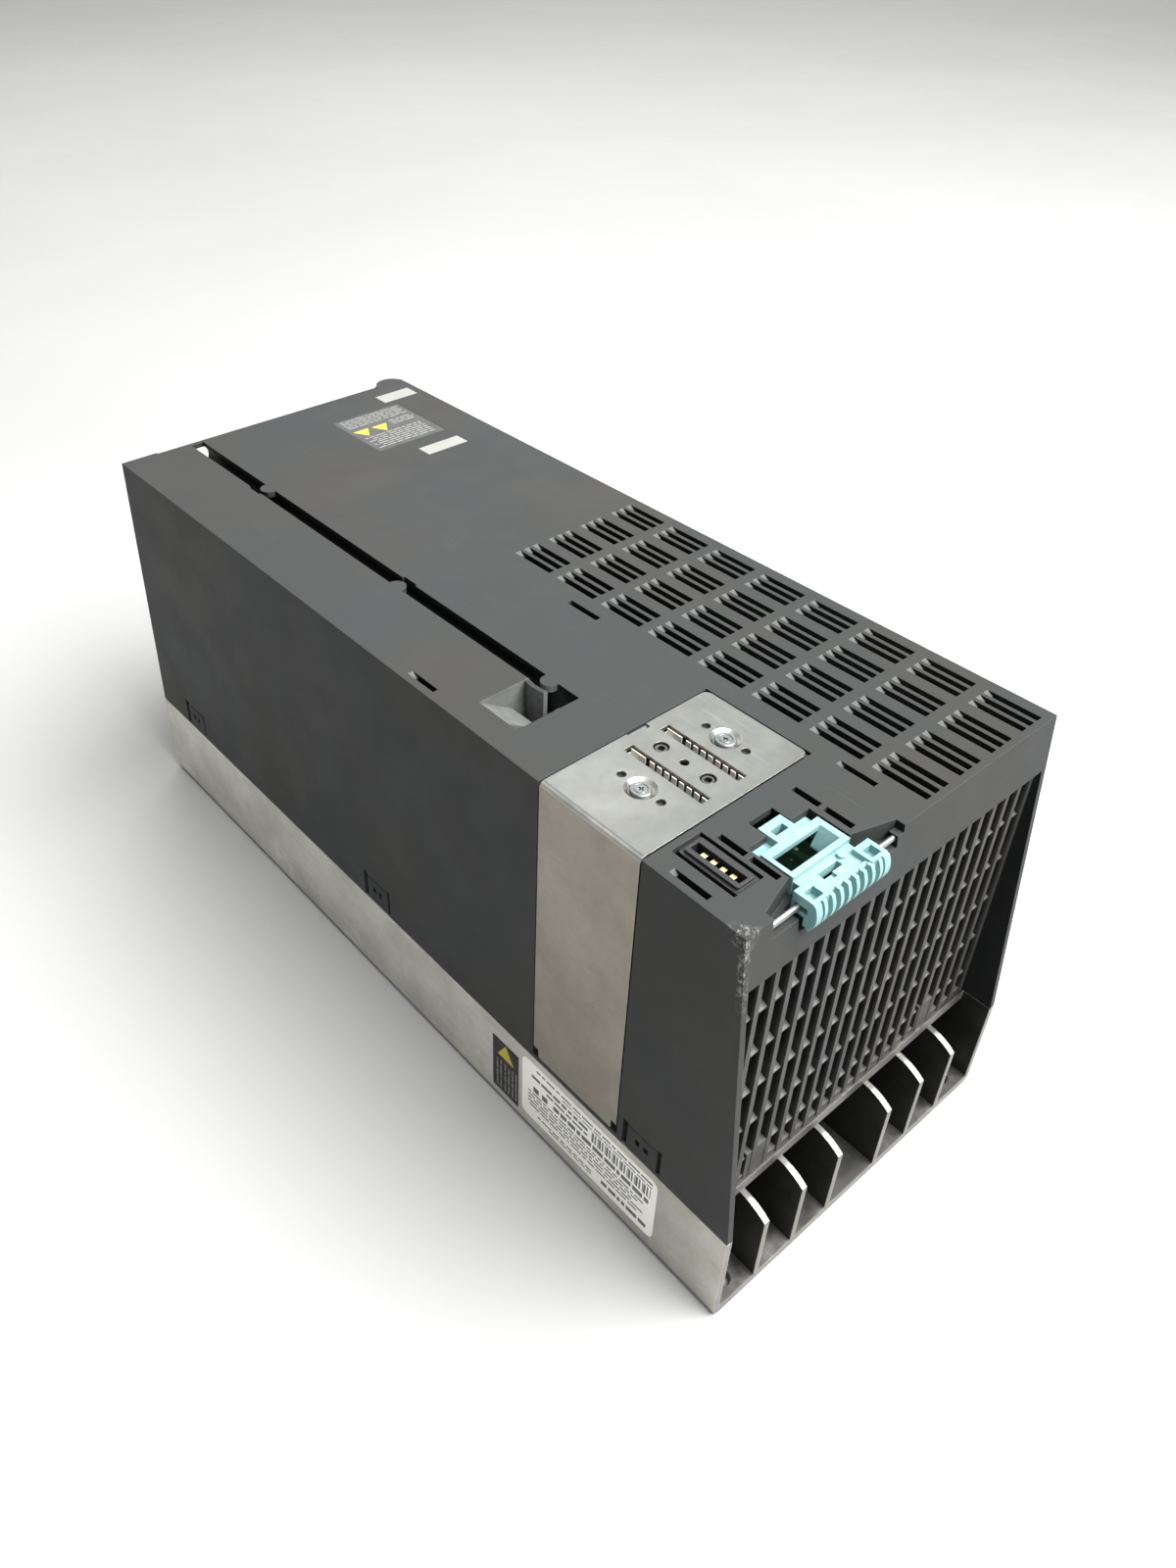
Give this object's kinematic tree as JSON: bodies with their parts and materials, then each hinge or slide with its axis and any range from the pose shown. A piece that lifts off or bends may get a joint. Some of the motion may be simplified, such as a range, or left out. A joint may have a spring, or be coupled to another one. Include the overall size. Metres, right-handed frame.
{
  "type": "servo drive",
  "caption": "Book-style servo drive power unit: finned heat sink, ventilated hood, shield plate with contact springs, sprung release latch, spinning fans and pull-off terminal plugs.",
  "frame": {"origin": "centre of the underside of the heat sink, where the drive rests on its mounting plane", "axes": "+Z out of the front face, +Y along the drive towards the terminal end, +X across towards the side without the shield plate"},
  "size_m": [0.14, 0.355, 0.165],
  "materials": {
    "aluminium_cast": "cast, satin, lightly scuffed",
    "hood_plastic": "fine moulded grain, anthracite",
    "hood_plastic_grille": "fine moulded grain, anthracite",
    "shield_sheet": "zinc-plated sheet, dull",
    "steel_screw": "zinc plated",
    "black_plastic": "moulded, matt",
    "spring_steel": "tinned spring sheet",
    "dark_screw": "black oxide",
    "latch_plastic": "moulded, satin, turquoise",
    "polished_wire": "bright drawn wire",
    "gold_contact": "gold plated",
    "board_green": "solder mask",
    "ribbon_grey": "flat cable insulation",
    "brass": "turned",
    "module_white": "moulded, matt",
    "capacitor_sleeve": "shrink sleeve",
    "ferrite": "epoxy coated core",
    "copper_wire": "enamelled copper wire",
    "capacitor_yellow": "moulded case",
    "transformer_tape": "tape and ferrite",
    "sensor_blue": "moulded case",
    "copper_bar": "tinned edge copper",
    "terminal_green": "moulded",
    "tinned_metal": "tin plated",
    "plug_black": "moulded, fine grain",
    "bearing_steel": "ground",
    "rotor_black": "moulded",
    "label_white": "printed film",
    "label_black": "printed film",
    "label_grey": "printed film"
  },
  "bodies": {
    "drive_unit": {"heat_sink": "aluminium_cast", "hood": "hood_plastic", "outlet_grille": "hood_plastic_grille", "shield_plate": "shield_sheet", "shield_screws": "steel_screw", "contact_carrier": "black_plastic", "contact_springs": "spring_steel", "carrier_screws": "dark_screw", "latch_wire": "polished_wire", "interface_connector": "black_plastic", "interface_contacts": "gold_contact", "control_board": "board_green", "control_chips": "black_plastic", "control_board_screws": "steel_screw", "ribbon_cable": "ribbon_grey", "power_board": "board_green", "board_standoffs": "brass", "board_screws": "steel_screw", "power_module": "module_white", "rectifier_module": "module_white", "module_screws": "steel_screw", "dc_link_capacitors": "capacitor_sleeve", "choke_core": "ferrite", "choke_windings": "copper_wire", "filter_capacitors": "capacitor_yellow", "precharge_relay": "black_plastic", "supply_transformer": "transformer_tape", "current_sensors": "sensor_blue", "motor_busbars": "copper_bar", "line_header": "terminal_green", "motor_header": "terminal_green", "brake_header": "terminal_green", "header_pins": "tinned_metal", "terminal_panel": "hood_plastic_grille", "fan_carrier": "black_plastic", "fan_housings": "black_plastic", "fan_stators": "copper_wire", "fan_bearings": "bearing_steel", "fan_guards": "polished_wire", "fan_screws": "steel_screw", "earth_screws": "steel_screw", "rating_label": "label_white", "warning_label": "label_black", "instruction_label": "label_grey", "stickers": "label_white"},
    "latch": {"release_latch": "latch_plastic"},
    "line_plug_body": {"line_plug": "plug_black", "line_clamps": "tinned_metal", "line_clamp_screws": "steel_screw"},
    "motor_plug_body": {"motor_plug": "plug_black", "motor_clamps": "tinned_metal", "motor_clamp_screws": "steel_screw"},
    "brake_plug_body": {"brake_plug": "plug_black", "brake_clamps": "tinned_metal", "brake_clamp_screws": "steel_screw"},
    "left_fan": {"left_fan_rotor": "rotor_black"},
    "right_fan": {"right_fan_rotor": "rotor_black"}
  },
  "joints": [
    {"name": "latch_slide", "type": "slide", "parent": "drive_unit", "child": "latch", "axis": [0, 1, 0], "range_m": [0, 0.002], "stiffness_N_per_m": 3000, "springref_m": -0.001},
    {"name": "line_plug_slide", "type": "slide", "parent": "drive_unit", "child": "line_plug_body", "axis": [0, 1, 0], "range_m": [0, 0.022]},
    {"name": "motor_plug_slide", "type": "slide", "parent": "drive_unit", "child": "motor_plug_body", "axis": [0, 1, 0], "range_m": [0, 0.022]},
    {"name": "brake_plug_slide", "type": "slide", "parent": "drive_unit", "child": "brake_plug_body", "axis": [0, 1, 0], "range_m": [0, 0.022]},
    {"name": "left_fan_spin", "type": "hinge", "parent": "drive_unit", "child": "left_fan", "pos_m": [-0.0303, 0.1525, 0.034], "axis": [0, 1, 0], "continuous": true},
    {"name": "right_fan_spin", "type": "hinge", "parent": "drive_unit", "child": "right_fan", "pos_m": [0.0303, 0.1525, 0.034], "axis": [0, 1, 0], "continuous": true}
  ]
}
